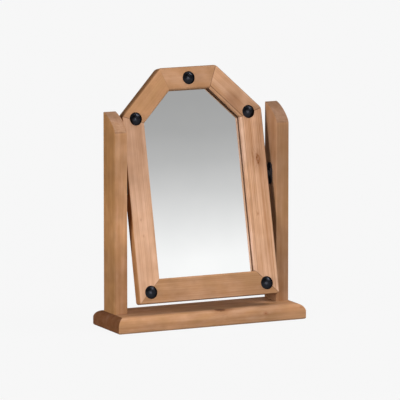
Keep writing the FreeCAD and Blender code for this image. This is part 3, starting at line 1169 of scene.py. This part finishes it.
@dataclass
class Studio:
    """Floor, soft light, reflected sweep and camera."""

    floor_half: float = 60.0
    floor_colour: Colour = (0.20, 0.20, 0.20)
    floor_roughness: float = 0.9
    background: float = 0.923
    floor_glow: float = 0.92
    floor_shine: float = 0.992
    sky_strength: float = 0.45
    sky_zenith: float = 1.2
    sky_back: float = 0.10
    lamps: tuple[Lamp, ...] = (
        Lamp("front", 1.343, 24.0, (-0.08, -0.985, 0.15)),
        Lamp("top", 1.85, 32.0, (0.55, -0.24, 0.80)),
        Lamp("left", 2.7, 18.0, (-0.98, -0.17, 0.10), False),
        Lamp("back", 2.2, 12.0, (0.30, 0.94, 0.09), False),
    )
    sweep_y: float = -1.05
    sweep_half: float = 5.0
    sweep_top: float = 5.0
    sweep_tones: tuple[tuple[float, float], ...] = (
        (0.30, 1.05), (0.42, 1.05), (0.445, 1.037), (0.495, 0.952), (0.55, 0.845), (0.627, 0.679),
        (0.71, 0.536), (0.79, 0.442), (0.88, 0.405), (1.05, 0.38), (1.5, 0.08), (2.6, 0.04),
    )
    camera_azimuth: float = 25.417
    camera_elevation: float = 8.953
    camera_distance: float = 11.5
    camera_reach: float = 200.0
    camera_target: tuple[float, float, float] = (0.0, 0.0, 0.3)
    camera_aim: tuple[float, float, float] = (0.0002, 0.0, 0.2893)
    focal_pixels: float = 4922.6
    image_pixels: float = 400.0
    sensor: float = 36.0

    @staticmethod
    def plane(name: str, pose: Matrix) -> bpy.types.Object:
        """Square of side 1, sized and set in place.

        Args:
            name: name of the object.
            pose: size and place of the square, which lies level about the origin.

        Returns:
            The plane.
        """
        mesh = bmesh.new()
        bmesh.ops.create_grid(mesh, x_segments=1, y_segments=1, size=0.5)
        bmesh.ops.transform(mesh, matrix=pose, verts=mesh.verts)
        return finished(name, mesh)

    def build_floor(self) -> None:
        """Pale floor that takes the object's shadow."""
        floor = self.plane("floor", Matrix.Diagonal((2 * self.floor_half, 2 * self.floor_half, 1, 1)))
        coat = Coat("pale_floor")
        matt = coat.dress(self.floor_colour, self.floor_roughness, Specular_IOR_Level=0.0)
        floor.data.materials.append(matt)
        glow = coat.node("Emission", {"Strength": self.floor_shine}).outputs[0]
        share = coat.times(coat.seen(), self.floor_glow)
        shown = coat.node("MixShader", {0: share, 1: coat.shader.outputs[0], 2: glow}).outputs[0]
        coat.feed(coat.output.inputs["Surface"], shown)

    def build_sweep(self) -> None:
        """Graded studio wall in front of the mirror that only reflections see."""
        size = Matrix.Diagonal((2 * self.sweep_half, self.sweep_top, 1, 1))
        upright = Matrix.Rotation(math.pi / 2, 4, "X")
        place = Matrix.Translation((0, self.sweep_y, self.sweep_top / 2))
        sweep = self.plane("sweep", place @ upright @ size)
        for kind in ("camera", "diffuse", "shadow", "transmission", "volume_scatter"):
            setattr(sweep, "visible_" + kind, False)
        material = bpy.data.materials.new("sweep")
        material.use_nodes = True
        graph = Graph(material.node_tree)
        low, high = self.sweep_tones[0][0], self.sweep_tones[-1][0]
        limits = {"Value": graph.split(graph.places())[2], "From Min": low, "From Max": high}
        ramp = graph.node("ValToRGB", {0: graph.node("MapRange", limits).outputs[0]})
        stops = ramp.color_ramp.elements
        while len(stops) < len(self.sweep_tones):
            stops.new(0.5)
        for stop, (height, tone) in zip(stops, self.sweep_tones):
            stop.position = (height - low) / (high - low)
            stop.color = (tone, tone, tone, 1.0)
        glow = graph.node("Emission", {"Color": ramp.outputs[0]}).outputs[0]
        graph.node("OutputMaterial", {"Surface": glow})
        sweep.data.materials.append(material)

    def build_world(self) -> None:
        """Soft sky, brighter in front and above, that is seen as the pale background."""
        world = bpy.data.worlds.new("studio")
        bpy.context.scene.world = world
        world.use_nodes = True
        graph = Graph(world.node_tree)
        _, back, up = graph.split(graph.node("TexCoord", {}).outputs["Generated"])
        level = graph.step(back, -0.5, 0.5, self.sky_strength, self.sky_strength * self.sky_back)
        level = graph.times(level, graph.math("MULTIPLY_ADD", up, self.sky_zenith, 1.0))
        limits = {"Value": graph.seen(), "To Min": level, "To Max": self.background}
        sky = graph.node("Background", {"Strength": graph.node("MapRange", limits).outputs[0]}).outputs[0]
        graph.node("OutputWorld", {"Surface": sky})

    def build_lights(self) -> None:
        """Front, top, left and back lights."""
        for lamp in self.lamps:
            data = bpy.data.lights.new(lamp.name, "SUN")
            data.energy = lamp.strength
            data.angle = math.radians(lamp.angle)
            data.cycles.use_multiple_importance_sampling = False
            made = bpy.data.objects.new(lamp.name, data)
            bpy.context.scene.collection.objects.link(made)
            made.rotation_mode = "QUATERNION"
            made.rotation_quaternion = Vector(lamp.comes_from).to_track_quat("Z", "Y")
            made.visible_glossy = lamp.glints

    def build_camera(self) -> None:
        """Long lens from the front left, a little above."""
        data = bpy.data.cameras.new("camera")
        data.sensor_width = self.sensor
        data.lens = self.sensor * self.focal_pixels / self.image_pixels
        data.clip_end = self.camera_reach
        camera = bpy.data.objects.new("camera", data)
        bpy.context.scene.collection.objects.link(camera)
        azimuth, elevation = math.radians(self.camera_azimuth), math.radians(self.camera_elevation)
        level = math.cos(elevation)
        ahead = Vector((math.sin(azimuth) * level, math.cos(azimuth) * level, -math.sin(elevation)))
        camera.location = Vector(self.camera_target) - ahead * self.camera_distance
        look = Vector(self.camera_aim) - camera.location
        camera.rotation_mode = "QUATERNION"
        camera.rotation_quaternion = look.to_track_quat("-Z", "Y")
        bpy.context.scene.camera = camera

    def build(self) -> None:
        """Set the studio up."""
        self.build_floor()
        self.build_sweep()
        self.build_world()
        self.build_lights()
        self.build_camera()
        bpy.context.scene.view_settings.view_transform = "Standard"
        log.info("studio ready")


def main() -> None:
    """Dress the sub-assemblies in order and set up the studio."""
    logging.basicConfig(level=logging.INFO, format="%(name)s: %(message)s")
    Stand().dress()
    PivotHardware().dress()
    MirrorFrame().dress()
    Studio().build()


if __name__ == "__main__":
    main()
